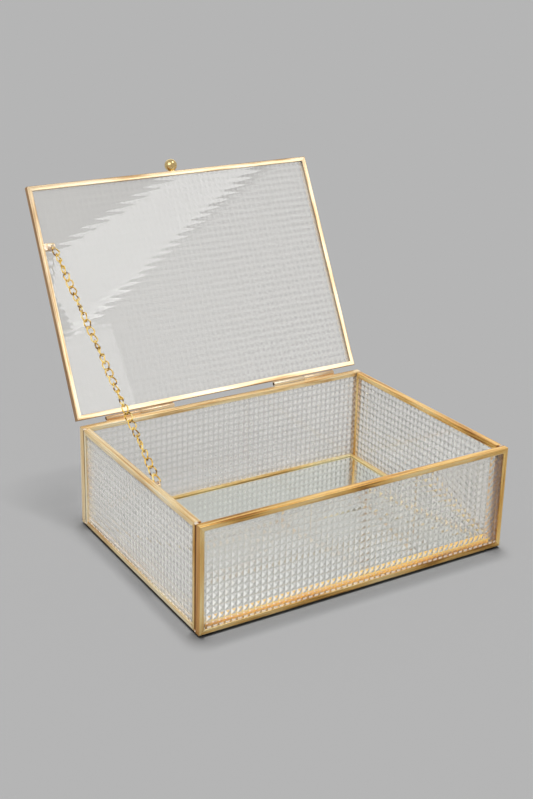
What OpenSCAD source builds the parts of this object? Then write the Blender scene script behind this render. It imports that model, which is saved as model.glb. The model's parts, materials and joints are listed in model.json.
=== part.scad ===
// Glass casket box: four panes and a mirror floor framed in U-shaped brass strip, with a framed
// glass lid on two tube hinges, a ball knob and a small chain that holds the lid open.
// Millimetres, +Z up, front towards -Y. The lid stands open on its chain.
// The origin is on the table, under the middle of the four walls.

/* [Box] */
// Width of the box, left to right
box_w = 210; // [150:1:320]
// Depth of the box, front to back
box_d = 151; // [120:1:220]
// Height of the framed walls, without the feet
wall_h = 65; // [55:1:110]
// Angle between the closed lid and the lid open on its chain
lid_open = 117.5; // [105:0.5:130]
// Gap between the closed lid and the walls
lid_gap = 0.3; // [0.2:0.05:1]

/* [Framing] */
// Thickness of each pane
glass_t = 3; // [2:0.1:5]
// Clearance between a pane and the strip, on each face
glass_fit = 0.15; // [0.05:0.05:0.4]
// Clearance between a pane's edge and the bottom of the strip
edge_fit = 0.3; // [0.1:0.05:0.6]
// Thickness of the sheet that the strip is folded from
strip_sheet = 0.6; // [0.3:0.05:0.9]
// Width of the strip on the face of the glass
strip_lip = 3; // [2.2:0.1:6]
// Solder line at a mitred corner, measured along each strip
mitre_gap = 0.03; // [0.01:0.01:0.2]
// Solder line between two framed panels
panel_gap = 0.3; // [0.1:0.05:0.8]

/* [Hinges] */
// Length of one hinge, both knuckles together
hinge_len = 48; // [30:1:60]
// Distance of each hinge's middle from the middle of the box
hinge_place = 62; // [40:1:70]
// Outer diameter of the hinge tube
tube_d = 3; // [2.6:0.1:4]
// Diameter of the hinge pin
pin_d = 1.8; // [1.2:0.1:2]
// Clearance around the pin
pin_fit = 0.05; // [0.02:0.01:0.1]
// Gap between the two knuckles of a hinge
knuckle_gap = 0.3; // [0.2:0.05:0.8]
// How far the pin stops short of each end of the tube
pin_recess = 1.5; // [0.5:0.1:3]
// Distance of the hinge line behind the box
hinge_back = 2; // [1.8:0.1:3]
// Height of the hinge line above the walls
hinge_up = 0.6; // [0:0.1:1]
// Height of the soldered foot under or over a knuckle
knuckle_foot = 2.2; // [1.5:0.1:3]

/* [Knob] */
// Diameter of the ball knob
knob_d = 8.2; // [6:0.1:14]
// Gap between the ball and the lid
knob_stand = 0.2; // [0.1:0.1:2]
// Diameter of the stud that holds the ball
stud_d = 2.4; // [1.6:0.1:3.5]
// Clearance around the stud in the ball
stud_fit = 0.05; // [0.02:0.01:0.1]
// Depth of the stud in the ball
stud_depth = 3.5; // [2:0.1:5]

/* [Chain] */
// Distance of the chain's upper end behind the lid's front edge
lid_eye_back = 41.5; // [30:0.5:55]
// Distance of the chain's lower end behind the front of the box
box_eye_back = 60; // [45:0.5:70]
// Depth of the chain's upper end under the closed lid
lid_eye_drop = 2.6; // [2.4:0.1:4]
// Depth of the chain's lower end below the rim
box_eye_drop = 2; // [1.8:0.1:4]
// Distance of the chain's upper end from the inner face of the left wall
lid_eye_in = 3.7; // [3.2:0.1:8]
// Distance of the chain's lower end from the inner face of the left wall
box_eye_in = 2.65; // [2.6:0.05:6]
// Thickness of the chain's wire
chain_wire = 0.95; // [0.6:0.05:1.2]
// Outer width of a link
link_w = 4.3; // [3.8:0.1:5]
// Length of chain that one link should take up
link_take = 5.2; // [4.8:0.1:7]
// Play between two links when the chain hangs tight
link_slack = 0.25; // [0.1:0.05:0.5]
// Thickness of the wire in the two eyes
eye_wire = 0.9; // [0.6:0.05:1.2]
// Inner radius of the two eyes
eye_r = 1.5; // [1.2:0.1:2.2]
// Diameter of the stub that carries the eye on the lid
lid_stub_d = 2.8; // [1.5:0.1:3]
// Diameter of the stub that carries the eye on the wall
box_stub_d = 1.8; // [1:0.1:2.4]
// Width of the tab that joins the lid's eye to its strip
tab_w = 3; // [2:0.1:6]
// How far the tab runs under the stub
tab_hold = 0.7; // [0.4:0.1:1.5]
// Clearance between the lid's eye and the wall it drops behind
eye_fit = 0.4; // [0.3:0.05:1]

/* [Feet] */
// Height of the feet
foot_h = 1.2; // [0.8:0.1:4]
// Diameter of the feet
foot_d = 11; // [6:0.5:16]
// Distance of a foot's edge from the faces of the box
foot_inset = 1; // [0.5:0.5:6]

/* [Hidden] */
$fn = 48;
cut = 1;        // how far cutters reach past a face
stub_tilt = 20; // where the stub meets the ring on the box, up from level
face_edges = ["bottom_rail", "top_rail", "left_stile", "right_stile"];
side_edges = ["bottom_rail", "top_rail", "front_stile", "rear_stile"];
flat_edges = ["front_strip", "rear_strip", "left_strip", "right_strip"];
walls = ["front", "back", "left", "right"];
sides = ["left", "right"];
corners = ["front_left", "front_right", "rear_left", "rear_right"];
runs = 11;     // lengths of chain that swing on their own
lid_runs = 7;  // of these, the ones that hang from the lid

// Strip and panels
slot_t = glass_t + 2 * glass_fit;
strip_t = slot_t + 2 * strip_sheet;
pane_inset = strip_sheet + edge_fit;
rim_z = foot_h + wall_h;
side_run = box_d - 2 * strip_t - 2 * panel_gap;
base_w = box_w - 2 * strip_t - 2 * panel_gap;
inner_x = -(box_w / 2 - strip_t); // inner face of the left wall

// Lid and hinges, as [y, z] in the plane of the sides
lid_z = rim_z + lid_gap; // inner face of the closed lid
lid_glass_z = lid_z + strip_sheet + glass_fit;
hinge = [box_d / 2 + hinge_back, rim_z + hinge_up];
knuckle_len = (hinge_len - knuckle_gap) / 2;
bore_d = pin_d + 2 * pin_fit;

// Chain, from its end on the lid to its end on the box
lid_end_shut = [lid_eye_back - box_d / 2, lid_z - lid_eye_drop];
lid_end = hinge + turned(lid_end_shut - hinge, -lid_open);
box_end = [box_eye_back - box_d / 2, rim_z - box_eye_drop];
chord = norm(box_end - lid_end);
chord_angle = atan2(box_end[1] - lid_end[1], box_end[0] - lid_end[0]);
links = 2 * round((chord / link_take - 1) / 2) + 1;
pitch = (chord - chain_wire - link_slack) / links;
bow_r = (link_w - chain_wire) / 2;
bar_span = pitch + link_slack + chain_wire; // between the middles of a link's two ends
leg = bar_span - 2 * bow_r;
parted = last_link(lid_runs); // the last link that hangs from the lid
open_link = parted % 2 == 1 ? parted : parted + 1;
open_end = parted % 2 == 1 ? 1 : -1;
eye_mid_r = eye_r + eye_wire / 2;
eye_seat = eye_r - chain_wire / 2 - link_slack / 2; // from an eye's middle to the link in it

brass = [0.83, 0.70, 0.44];
bright_brass = [0.90, 0.78, 0.52];
gilt = [0.86, 0.64, 0.22];
glass = [0.80, 0.84, 0.83, 0.45];
silvering = [0.72, 0.76, 0.75];
black = [0.06, 0.06, 0.06];

function turned(p, a) = [p[0] * cos(a) - p[1] * sin(a), p[0] * sin(a) + p[1] * cos(a)];
function wall_strip_name(wall, edge) =
    str(wall, "_", wall == "front" || wall == "back" ? face_edges[edge] : side_edges[edge]);
function last_link(run) = floor(run * links / runs);
function wall_run(wall) = wall == "front" || wall == "back" ? box_w : side_run;

// ---- framed panels ----

// U strip along X, its open side up, with both ends mitred
module u_strip(run) {
    rotate([90, 0, 0])
        linear_extrude(height = strip_t, center = true)
            mitred(run, strip_sheet);
    for (side = [-1, 1])
        translate([0, side * (strip_t - strip_sheet) / 2, 0])
            rotate([90, 0, 0])
                linear_extrude(height = strip_sheet, center = true)
                    mitred(run, strip_lip);
}

module mitred(run, reach) {
    foot = run / 2 - mitre_gap;
    polygon([[-foot, 0], [foot, 0], [foot - reach, reach], [reach - foot, reach]]);
}

// One of the four strips around a panel that stands on z = 0
module panel_strip(w, h, edge) {
    if (edge == 0) u_strip(w);
    if (edge == 1) translate([0, 0, h]) rotate([0, 180, 0]) u_strip(w);
    if (edge == 2) translate([-w / 2, 0, h / 2]) rotate([0, 90, 0]) u_strip(h);
    if (edge == 3) translate([w / 2, 0, h / 2]) rotate([0, -90, 0]) u_strip(h);
}

module panel_pane(w, h) {
    translate([0, 0, h / 2])
        cube([w - 2 * pane_inset, glass_t, h - 2 * pane_inset], center = true);
}

module place_wall(wall) {
    off_x = (box_w - strip_t) / 2;
    off_y = (box_d - strip_t) / 2;
    if (wall == "front") translate([0, -off_y, foot_h]) children();
    if (wall == "back") translate([0, off_y, foot_h]) children();
    if (wall == "left") translate([-off_x, 0, foot_h]) rotate([0, 0, 90]) children();
    if (wall == "right") translate([off_x, 0, foot_h]) rotate([0, 0, 90]) children();
}

// Lays a standing panel of height h down flat, its middle plane at height z
module lay_flat(h, z) {
    translate([0, -h / 2, z]) rotate([-90, 0, 0]) mirror([0, 1, 0]) children();
}

module wall_strip(wall, edge) {
    color(brass) place_wall(wall) panel_strip(wall_run(wall), wall_h, edge);
}

module wall_pane(wall) {
    color(glass) place_wall(wall) panel_pane(wall_run(wall), wall_h);
}

module base_strip(edge) {
    color(brass) lay_flat(side_run, foot_h + strip_t / 2) panel_strip(base_w, side_run, edge);
}

module mirror_floor() {
    color(silvering) lay_flat(side_run, foot_h + strip_t / 2) panel_pane(base_w, side_run);
}

// ---- lid ----

// Swings what is drawn on the closed lid to where the chain holds it
module open_lid() {
    translate([0, hinge[0], hinge[1]])
        rotate([-lid_open, 0, 0])
            translate([0, -hinge[0], -hinge[1]])
                children();
}

module lid_strip(edge) {
    color(bright_brass) open_lid() lay_flat(box_d, lid_z + strip_t / 2) panel_strip(box_w, box_d, edge);
}

module lid_pane() {
    color(glass) open_lid() lay_flat(box_d, lid_z + strip_t / 2) panel_pane(box_w, box_d);
}

module knob_stud() {
    color(brass) open_lid()
        translate([0, -box_d / 2, lid_z + strip_t / 2])
            rotate([90, 0, 0]) cylinder(h = knob_stand + stud_depth, d = stud_d);
}

module knob_ball() {
    color(bright_brass) open_lid()
        translate([0, -box_d / 2, lid_z + strip_t / 2])
            rotate([90, 0, 0]) difference() {
                translate([0, 0, knob_stand + knob_d / 2]) sphere(d = knob_d);
                cylinder(h = knob_stand + stud_depth + stud_fit, d = stud_d + 2 * stud_fit);
            }
}

// ---- hinges ----

// Knuckle tube along X on the hinge line, with a foot that reaches the back face of its strip.
// Which way is up the strip: 1 for the lid, -1 for the box.
module knuckle(from_x, up) {
    foot_from = up > 0 ? lid_z : rim_z;
    difference() {
        union() {
            translate([from_x, hinge[0], hinge[1]]) rotate([0, 90, 0]) cylinder(h = knuckle_len, d = tube_d);
            translate([from_x, box_d / 2, up > 0 ? foot_from : foot_from - knuckle_foot])
                cube([knuckle_len, hinge_back, knuckle_foot]);
        }
        translate([from_x - cut, hinge[0], hinge[1]])
            rotate([0, 90, 0]) cylinder(h = knuckle_len + 2 * cut, d = bore_d);
    }
}

module box_knuckle(side) {
    out = hinge_place + hinge_len / 2;
    color(brass) knuckle(side == "left" ? -out : out - knuckle_len, -1);
}

module lid_knuckle(side) {
    in = hinge_place - hinge_len / 2;
    color(bright_brass) open_lid() knuckle(side == "left" ? -in - knuckle_len : in, 1);
}

module hinge_pin(side) {
    mid = side == "left" ? -hinge_place : hinge_place;
    color(brass) translate([mid, hinge[0], hinge[1]])
        rotate([0, 90, 0]) cylinder(h = hinge_len - 2 * pin_recess, d = pin_d, center = true);
}

// ---- chain ----

// Wire eye in the plane of the sides, around the given middle [y, z]
module eye_ring(x, mid) {
    translate([x, mid[0], mid[1]])
        rotate([0, 90, 0])
            rotate_extrude() translate([eye_mid_r, 0]) circle(d = eye_wire);
}

// Eye on the lid: a tab soldered to the inner edge of the left strip, a stub and a ring
module lid_chain_eye() {
    x = inner_x + lid_eye_in;
    pull = chord_angle + lid_open; // which way the chain leaves, on the closed lid
    mid = lid_end_shut - eye_seat * [cos(pull), sin(pull)];
    stub_z = lid_glass_z - glass_fit - lid_stub_d / 2;
    rise = min(stub_z - mid[1], eye_mid_r);
    stub_y = mid[0] - sqrt(eye_mid_r * eye_mid_r - rise * rise);
    strip_x = strip_lip - box_w / 2;
    stub_x = max(inner_x + eye_fit, strip_x);
    color(bright_brass) open_lid() {
        eye_ring(x, mid);
        translate([stub_x, stub_y, stub_z])
            rotate([0, 90, 0]) cylinder(h = x - stub_x - eye_wire / 3, d = lid_stub_d);
        translate([strip_x, stub_y - tab_w / 2, lid_z])
            cube([stub_x + tab_hold - strip_x, tab_w, strip_sheet]);
    }
}

// Eye on the box: a stub soldered to the inner face of the left top rail, and a ring
module box_chain_eye() {
    x = inner_x + box_eye_in;
    mid = box_end + eye_seat * [cos(chord_angle), sin(chord_angle)];
    stub = mid + eye_mid_r * [-cos(stub_tilt), sin(stub_tilt)];
    color(brass) {
        eye_ring(x, mid);
        translate([inner_x, stub[0], stub[1]]) rotate([0, 90, 0]) cylinder(h = box_eye_in, d = box_stub_d);
    }
}

// Link along Y, flat in the XY plane. An end of 1 or -1 is left open, and 0 leaves none.
module link(gone) {
    for (end = [-1, 1]) {
        if (end != gone)
            translate([0, end * leg / 2, 0])
                rotate([0, 0, end > 0 ? 0 : 180])
                    rotate_extrude(angle = 180) translate([bow_r, 0]) circle(d = chain_wire);
        translate([end * bow_r, 0, 0]) rotate([90, 0, 0]) cylinder(h = leg, d = chain_wire, center = true);
    }
}

// A length of chain. Links lie flat and on edge by turns, and each goes through the next.
module chain_run(run) {
    color(gilt)
        for (i = [last_link(run - 1) + 1:last_link(run)]) {
            along = bar_span / 2 + (i - 1) * pitch;
            at = lid_end + along * [cos(chord_angle), sin(chord_angle)];
            x = inner_x + lid_eye_in + (box_eye_in - lid_eye_in) * along / chord;
            translate([x, at[0], at[1]])
                rotate([chord_angle, 0, 0])
                    rotate([0, i % 2 == 1 ? 0 : 90, 0])
                        link(i == open_link ? open_end : 0);
        }
}

// ---- feet ----

module foot(corner) {
    off_x = box_w / 2 - foot_inset - foot_d / 2;
    off_y = box_d / 2 - foot_inset - foot_d / 2;
    x = corner == "front_left" || corner == "rear_left" ? -off_x : off_x;
    y = corner == "front_left" || corner == "front_right" ? -off_y : off_y;
    color(black) translate([x, y, 0]) cylinder(h = foot_h, d = foot_d);
}

for (wall = walls, edge = [0:3])
    wall_strip(wall, edge);
for (wall = walls)
    wall_pane(wall);
for (edge = [0:3])
    base_strip(edge);
mirror_floor();
for (edge = [0:3])
    lid_strip(edge);
lid_pane();
knob_stud();
knob_ball();
for (side = sides) {
    box_knuckle(side);
    lid_knuckle(side);
    hinge_pin(side);
}
lid_chain_eye();
box_chain_eye();
for (run = [1:runs])
    chain_run(run);
for (corner = corners)
    foot(corner);
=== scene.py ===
import json
import math
import random
import bmesh
import bpy
import numpy as np
from mathutils import Matrix, Vector

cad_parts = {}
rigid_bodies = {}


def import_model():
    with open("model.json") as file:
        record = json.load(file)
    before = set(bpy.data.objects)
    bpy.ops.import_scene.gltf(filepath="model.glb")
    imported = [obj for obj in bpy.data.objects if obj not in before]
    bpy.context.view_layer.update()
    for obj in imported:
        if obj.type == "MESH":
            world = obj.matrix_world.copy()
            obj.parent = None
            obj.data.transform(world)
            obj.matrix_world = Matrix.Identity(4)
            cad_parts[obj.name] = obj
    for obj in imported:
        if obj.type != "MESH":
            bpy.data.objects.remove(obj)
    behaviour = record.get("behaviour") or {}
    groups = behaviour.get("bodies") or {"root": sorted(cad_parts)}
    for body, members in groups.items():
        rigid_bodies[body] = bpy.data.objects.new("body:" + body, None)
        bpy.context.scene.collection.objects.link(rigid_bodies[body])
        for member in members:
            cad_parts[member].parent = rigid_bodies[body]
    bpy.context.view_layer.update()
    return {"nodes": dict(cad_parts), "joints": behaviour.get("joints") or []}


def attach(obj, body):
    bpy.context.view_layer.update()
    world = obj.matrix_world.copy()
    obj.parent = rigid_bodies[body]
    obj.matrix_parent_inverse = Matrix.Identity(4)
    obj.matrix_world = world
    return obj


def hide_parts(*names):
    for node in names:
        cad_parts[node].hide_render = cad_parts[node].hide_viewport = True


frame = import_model()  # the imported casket, in metres, lid open
mm = 0.001
print("frame loaded:", len(frame["nodes"]), "nodes")

camera = {
    "azimuth": -28.51,  # degrees, from the front towards the left
    "elevation": 18.91,
    "distance": 0.7377,
    "target": (-0.0588, 0.0319, 0.1327),
    "focalPixels": 1255.9,
    "centrePixel": (179.1, 332.8),  # where the lens axis meets the picture
    "picturePixels": (533, 799),
    "clip": (0.01, 50),
}


def directionFrom(azimuth, elevation):
    a, e = math.radians(azimuth), math.radians(elevation)
    return Vector((math.sin(a) * math.cos(e), -math.cos(a) * math.cos(e), math.sin(e)))


def addCamera(c):
    wide, tall = c["picturePixels"]
    data = bpy.data.cameras.new("camera")
    data.lens = data.sensor_width * c["focalPixels"] / tall  # the tall side takes the sensor's width
    data.shift_x = (wide / 2 - c["centrePixel"][0]) / tall
    data.shift_y = (c["centrePixel"][1] - tall / 2) / tall
    data.clip_start, data.clip_end = c["clip"]
    back = directionFrom(c["azimuth"], c["elevation"])
    obj = bpy.data.objects.new("camera", data)
    obj.location = Vector(c["target"]) + back * c["distance"]
    obj.rotation_euler = back.to_track_quat("Z", "Y").to_euler()
    bpy.context.scene.collection.objects.link(obj)
    bpy.context.scene.camera = obj


addCamera(camera)
print("camera set")


def newMaterial(name):
    mat = bpy.data.materials.new(name)
    mat.use_nodes = True
    tree = mat.node_tree
    return mat, tree, tree.nodes["Principled BSDF"]


def addNode(tree, kind, **values):
    node = tree.nodes.new("ShaderNode" + kind)
    for key, value in values.items():
        if key[0] == "_":
            setattr(node, key[1:], value)
        else:
            node.inputs[key].default_value = value
    return node


def addRamp(tree, fac, stops):
    ramp = tree.nodes.new("ShaderNodeValToRGB")
    while len(ramp.color_ramp.elements) < len(stops):
        ramp.color_ramp.elements.new(0.5)
    for element, (place, colour) in zip(ramp.color_ramp.elements, stops):
        element.position = place
        element.color = (*colour, 1)
    tree.links.new(fac, ramp.inputs["Fac"])
    return ramp.outputs["Color"]


def addNoise(tree, vector, stretch, detail=3, roughness=0.5):
    mapping = addNode(tree, "Mapping", Scale=stretch)
    noise = addNode(tree, "TexNoise", Scale=1, Detail=detail, Roughness=roughness)
    tree.links.new(vector, mapping.inputs["Vector"])
    tree.links.new(mapping.outputs["Vector"], noise.inputs["Vector"])
    return noise.outputs["Fac"]


brassSurface = {
    "streakLength": 50 * mm,
    "streakWidth": 0.42 * mm,
    "patchLength": 45 * mm,
    "patchWidth": 6 * mm,
    "streakDetail": 5,
    "streakRoughness": 0.62,
    "patchShare": 0.5,
    "toneStops": (0.39, 0.47, 0.58),  # where the dark, the middle and the light tone are at their purest
    "scratchDepth": 0.012 * mm,
    "dullest": 1.3,  # roughness of the dark streaks, and of the light ones, against the given one
    "glossiest": 0.8,
    "metal": 0.78,   # the lacquer on the brass scatters the rest
}

# On the small links of the chain painted dark and bright reflections follow each other closely
linkSurface = {
    "streakLength": 1.6 * mm,
    "streakWidth": 0.9 * mm,
    "patchLength": 2.5 * mm,
    "patchWidth": 2 * mm,
    "toneStops": (0.44, 0.49, 0.59),
}


# Brass that was drawn or folded along its length: fine streaks run with it, over wide pale and dark patches;
# the dark and light streaks are partly its grain and partly painted reflections
def brassMaterial(name, light, middle, dark, roughness, along="grain", metal=None, webTone=None):
    mat, tree, shader = newMaterial(name)
    b = brassSurface
    if along == "object":
        place = addNode(tree, "TexCoord").outputs["Object"]
    else:
        place = addNode(tree, "Attribute", _attribute_name="grain").outputs["Vector"]
    if along == "link":
        b = {**b, **linkSurface}
    fine = (1 / b["streakLength"], 1 / b["streakWidth"], 1 / b["streakWidth"])
    broad = (1 / b["patchLength"], 1 / b["patchWidth"], 1 / b["patchWidth"])
    streaks = addNoise(tree, place, fine, b["streakDetail"], b["streakRoughness"])
    patches = addNoise(tree, place, broad, 2)
    both = addNode(tree, "Mix", _data_type="FLOAT")
    both.inputs[0].default_value = b["patchShare"]
    tree.links.new(streaks, both.inputs[2])
    tree.links.new(patches, both.inputs[3])
    colour = addRamp(tree, both.outputs[0], list(zip(b["toneStops"], (dark, middle, light))))
    if webTone:
        # the web of a strip, its outer edge, is tinted apart from the lips
        web = addNode(tree, "Attribute", _attribute_name="web").outputs["Fac"]
        tone = addRamp(tree, web, [(0.0, (1, 1, 1)), (1.0, webTone)])
        product = addNode(tree, "Mix", _data_type="RGBA", _blend_type="MULTIPLY")
        product.inputs[0].default_value = 1
        tree.links.new(colour, product.inputs[6])
        tree.links.new(tone, product.inputs[7])
        colour = product.outputs[2]
    tree.links.new(colour, shader.inputs["Base Color"])
    rough = addNode(tree, "MapRange")
    rough.inputs["From Min"].default_value = 0.3
    rough.inputs["From Max"].default_value = 0.7
    rough.inputs["To Min"].default_value = roughness * b["dullest"]
    rough.inputs["To Max"].default_value = roughness * b["glossiest"]
    tree.links.new(streaks, rough.inputs["Value"])
    tree.links.new(rough.outputs["Result"], shader.inputs["Roughness"])
    bump = addNode(tree, "Bump", Strength=1, Distance=b["scratchDepth"])
    tree.links.new(streaks, bump.inputs["Height"])
    tree.links.new(bump.outputs["Normal"], shader.inputs["Normal"])
    shader.inputs["Metallic"].default_value = b["metal"] if metal is None else metal
    return mat


pressedGlass = {
    "pitchWide": 3.85 * mm,  # of the pyramids, along the wall and up it
    "pitchTall": 4.3 * mm,
    "tint": (0.99, 0.98, 0.95),
    "roughness": 0.02,
    "shadowTint": (0.995, 0.995, 0.995),
    "rippleHeight": 0.0055 * mm,  # the rolled face has a faint wave to each row
    "warpSize": 30 * mm,
    "warpHeight": 0.02 * mm,
    "shadeLow": 0.66,      # painted shade: a pyramid's far side and the valleys pass a little less light
    "shadeHigh": 1.0,
    "index": 1.5,
    "clear": 0.97,         # share of light that goes straight through
    "glintAndHazeClear": 0.15,     # the same where the glass shows white, as haze and painted glints
    "cellFlatness": 0.45,  # painted refraction on the flat face: white cells with thin lines between
    "lineDepth": 0.28,
    "spotSharpness": 1.5,  # painted refraction on the flat face: small dark spots
    # dark tone of the painted lines and spots
    "deepTone": (0.10, 0.08, 0.05),
}


def addMath(tree, operation, first, second=None):
    node = addNode(tree, "Math", _operation=operation)
    for socket, value in zip(node.inputs, (first, second)):
        if isinstance(value, (int, float)):
            socket.default_value = value
        elif value is not None:
            tree.links.new(value, socket)
    return node.outputs[0]


# Light goes through the pressed sides by their tone, which is painted light and shade, and less where they
# show white, as haze and painted glints. The flat face shows the rows of pyramids behind it as painted
# refraction: white cells by its attribute cells and dark spots by its attribute spots.
def glassMaterial(name, g):
    mat, tree, shader = newMaterial(name)
    side = addNode(tree, "Attribute", _attribute_name="side").outputs["Fac"]
    tints = [[c * g[end] for c in g["tint"]] for end in ("shadeLow", "shadeHigh")]
    tint = addRamp(tree, side, list(zip((0.0, 1.0), tints)))
    place = addNode(tree, "Attribute", _attribute_name="grain").outputs["Vector"]
    across = addNode(tree, "SeparateXYZ")
    tree.links.new(place, across.inputs[0])
    humps = []
    for axis, pitch in (("X", g["pitchWide"]), ("Y", g["pitchTall"])):
        wave = addMath(tree, "COSINE", addMath(tree, "MULTIPLY", across.outputs[axis], 2 * math.pi / pitch))
        humps.append(addMath(tree, "SUBTRACT", 0.5, addMath(tree, "MULTIPLY", wave, 0.5)))
    hump = addMath(tree, "MULTIPLY", *humps)
    cell = addMath(tree, "POWER", hump, g["cellFlatness"])
    spot = addMath(tree, "POWER", hump, g["spotSharpness"])
    cells = addNode(tree, "Attribute", _attribute_name="cells").outputs["Fac"]
    spots = addNode(tree, "Attribute", _attribute_name="spots").outputs["Fac"]
    darkSpots = addMath(tree, "MULTIPLY", spots, spot)
    lines = addMath(tree, "MULTIPLY", cells, addMath(tree, "SUBTRACT", 1, cell))
    deep = addMath(tree, "ADD", addMath(tree, "MULTIPLY", lines, g["lineDepth"]), darkSpots)
    product = addNode(tree, "Mix", _data_type="RGBA", _blend_type="MULTIPLY")
    product.inputs[0].default_value = 1
    tree.links.new(tint, product.inputs[6])
    tree.links.new(addRamp(tree, deep, [(0.0, (1, 1, 1)), (1.0, g["deepTone"])]), product.inputs[7])
    tree.links.new(product.outputs[2], shader.inputs["Base Color"])
    glintAndHaze = addNode(tree, "Attribute", _attribute_name="glintAndHaze").outputs["Fac"]
    whiteCells = addMath(tree, "MULTIPLY", cell, cells)
    white = addMath(tree, "SUBTRACT", addMath(tree, "ADD", glintAndHaze, whiteCells), darkSpots)
    matte = addRamp(tree, white, [(0.0, (g["clear"],) * 3), (1.0, (g["glintAndHazeClear"],) * 3)])
    tree.links.new(matte, shader.inputs["Transmission Weight"])
    shader.inputs["Roughness"].default_value = g["roughness"]
    shader.inputs["IOR"].default_value = g["index"]
    ripple = addMath(tree, "MULTIPLY", across.outputs["Y"], 2 * math.pi / g["pitchTall"])
    ripple = addMath(tree, "SINE", ripple)
    rows = addNode(tree, "Bump", Strength=1, Distance=g["rippleHeight"] / 2)
    tree.links.new(ripple, rows.inputs["Height"])
    warp = addNode(tree, "Bump", Strength=1, Distance=g["warpHeight"])
    tree.links.new(addNoise(tree, place, (1 / g["warpSize"],) * 3, 1), warp.inputs["Height"])
    tree.links.new(rows.outputs["Normal"], warp.inputs["Normal"])
    tree.links.new(warp.outputs["Normal"], shader.inputs["Normal"])
    passed = addNode(tree, "BsdfTransparent", Color=(*g["shadowTint"], 1))
    mix = tree.nodes.new("ShaderNodeMixShader")
    path = tree.nodes.new("ShaderNodeLightPath")
    tree.links.new(path.outputs["Is Shadow Ray"], mix.inputs[0])
    tree.links.new(shader.outputs[0], mix.inputs[1])
    tree.links.new(passed.outputs[0], mix.inputs[2])
    tree.links.new(mix.outputs[0], tree.nodes["Material Output"].inputs["Surface"])
    return mat


silvering = {"tint": (0.97, 1.0, 0.97), "roughness": 0.08, "hazeSize": 40 * mm, "hazeTone": 0.94}


def mirrorMaterial(name, m):
    mat, tree, shader = newMaterial(name)
    place = addNode(tree, "TexCoord").outputs["Object"]
    haze = addNoise(tree, place, (1 / m["hazeSize"],) * 3)
    colour = addRamp(tree, haze, [(0.3, [c * m["hazeTone"] for c in m["tint"]]), (0.7, m["tint"])])
    tree.links.new(colour, shader.inputs["Base Color"])
    shader.inputs["Metallic"].default_value = 1
    shader.inputs["Roughness"].default_value = m["roughness"]
    return mat


mattSurface = {
    "gritSize": 0.4 * mm,
    "gritTone": 1.8,  # the pale grains against the dark ones
    "gritHeight": 0.05 * mm,
    "gritStrength": 0.4,
    "roughness": 0.7,
    "gloss": 0.2,
}


def mattMaterial(name, colour):
    mat, tree, shader = newMaterial(name)
    m = mattSurface
    place = addNode(tree, "TexCoord").outputs["Object"]
    grit = addNoise(tree, place, (1 / m["gritSize"],) * 3, 2)
    tone = addRamp(tree, grit, [(0.3, colour), (0.8, [c * m["gritTone"] for c in colour])])
    tree.links.new(tone, shader.inputs["Base Color"])
    bump = addNode(tree, "Bump", Strength=m["gritStrength"], Distance=m["gritHeight"])
    tree.links.new(grit, bump.inputs["Height"])
    tree.links.new(bump.outputs["Normal"], shader.inputs["Normal"])
    shader.inputs["Roughness"].default_value = m["roughness"]
    shader.inputs["Specular IOR Level"].default_value = m["gloss"]
    return mat


wallBrass = brassMaterial("wallBrass", (1.0, 0.80, 0.42), (0.86, 0.50, 0.13), (0.24, 0.085, 0.015), 0.20,
                          webTone=(1.0, 0.90, 0.72))
# a copy with a darker web, painted shade on the outer side of the stiles at the near corner
stileBrass = brassMaterial("stileBrass", (1.0, 0.80, 0.42), (0.84, 0.50, 0.14), (0.24, 0.085, 0.015), 0.20,
                           webTone=(0.82, 0.60, 0.38))
# a darker copy, painted shade at the front right corner
shadedOchreBrass = brassMaterial("shadedOchreBrass", (1.0, 0.70, 0.26), (0.80, 0.43, 0.09), (0.20, 0.07, 0.01), 0.20,
                           webTone=(0.92, 0.74, 0.50))
# a lighter copy, painted light on most of the left and back walls
litPaleBrass = brassMaterial("litPaleBrass", (1.0, 0.90, 0.66), (0.98, 0.74, 0.38), (0.56, 0.30, 0.10), 0.24,
                          metal=0.6, webTone=(1.0, 0.95, 0.88))
# lighter copies for the base strips, painted light where they sit in the shade inside the box
litBaseBrass = brassMaterial("litBaseBrass", (1.0, 0.88, 0.54), (1.0, 0.74, 0.30), (0.72, 0.42, 0.12), 0.25,
                          metal=0.65)
litBaseFrontBrass = brassMaterial("litBaseFrontBrass", (1.0, 0.64, 0.05), (1.0, 0.54, 0.01), (0.82, 0.38, 0.005), 0.25,
                         metal=0.2)
lidBrass = brassMaterial("lidBrass", (0.86, 0.72, 0.51), (0.77, 0.58, 0.35), (0.42, 0.25, 0.11), 0.30,
                         webTone=(0.66, 0.49, 0.34))
tubeBrass = brassMaterial("tubeBrass", (1.0, 0.87, 0.66), (0.94, 0.74, 0.49), (0.60, 0.36, 0.17), 0.24,
                          along="object")
solder = brassMaterial("solder", (1.0, 0.88, 0.74), (0.90, 0.70, 0.52), (0.40, 0.23, 0.14), 0.26,
                       along="object", metal=0.75)
knobBrass = brassMaterial("knobBrass", (1.0, 0.80, 0.40), (0.94, 0.68, 0.30), (0.60, 0.36, 0.12), 0.07,
                          along="object", metal=0.97)
# the chain's near-black tone and its bright one are painted reflections of dark and bright surroundings
chainGilt = brassMaterial("chainGilt", (1.0, 0.86, 0.38), (1.0, 0.58, 0.04), (0.12, 0.045, 0.002), 0.14,
                          along="link", metal=0.4)
seamBrown = mattMaterial("seamBrown", (0.045, 0.016, 0.005))
clearGlass = glassMaterial("clearGlass", pressedGlass)
mirrorGlass = mirrorMaterial("mirrorGlass", silvering)
footRubber = mattMaterial("footRubber", (0.008, 0.008, 0.008))
print("materials made")

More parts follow.
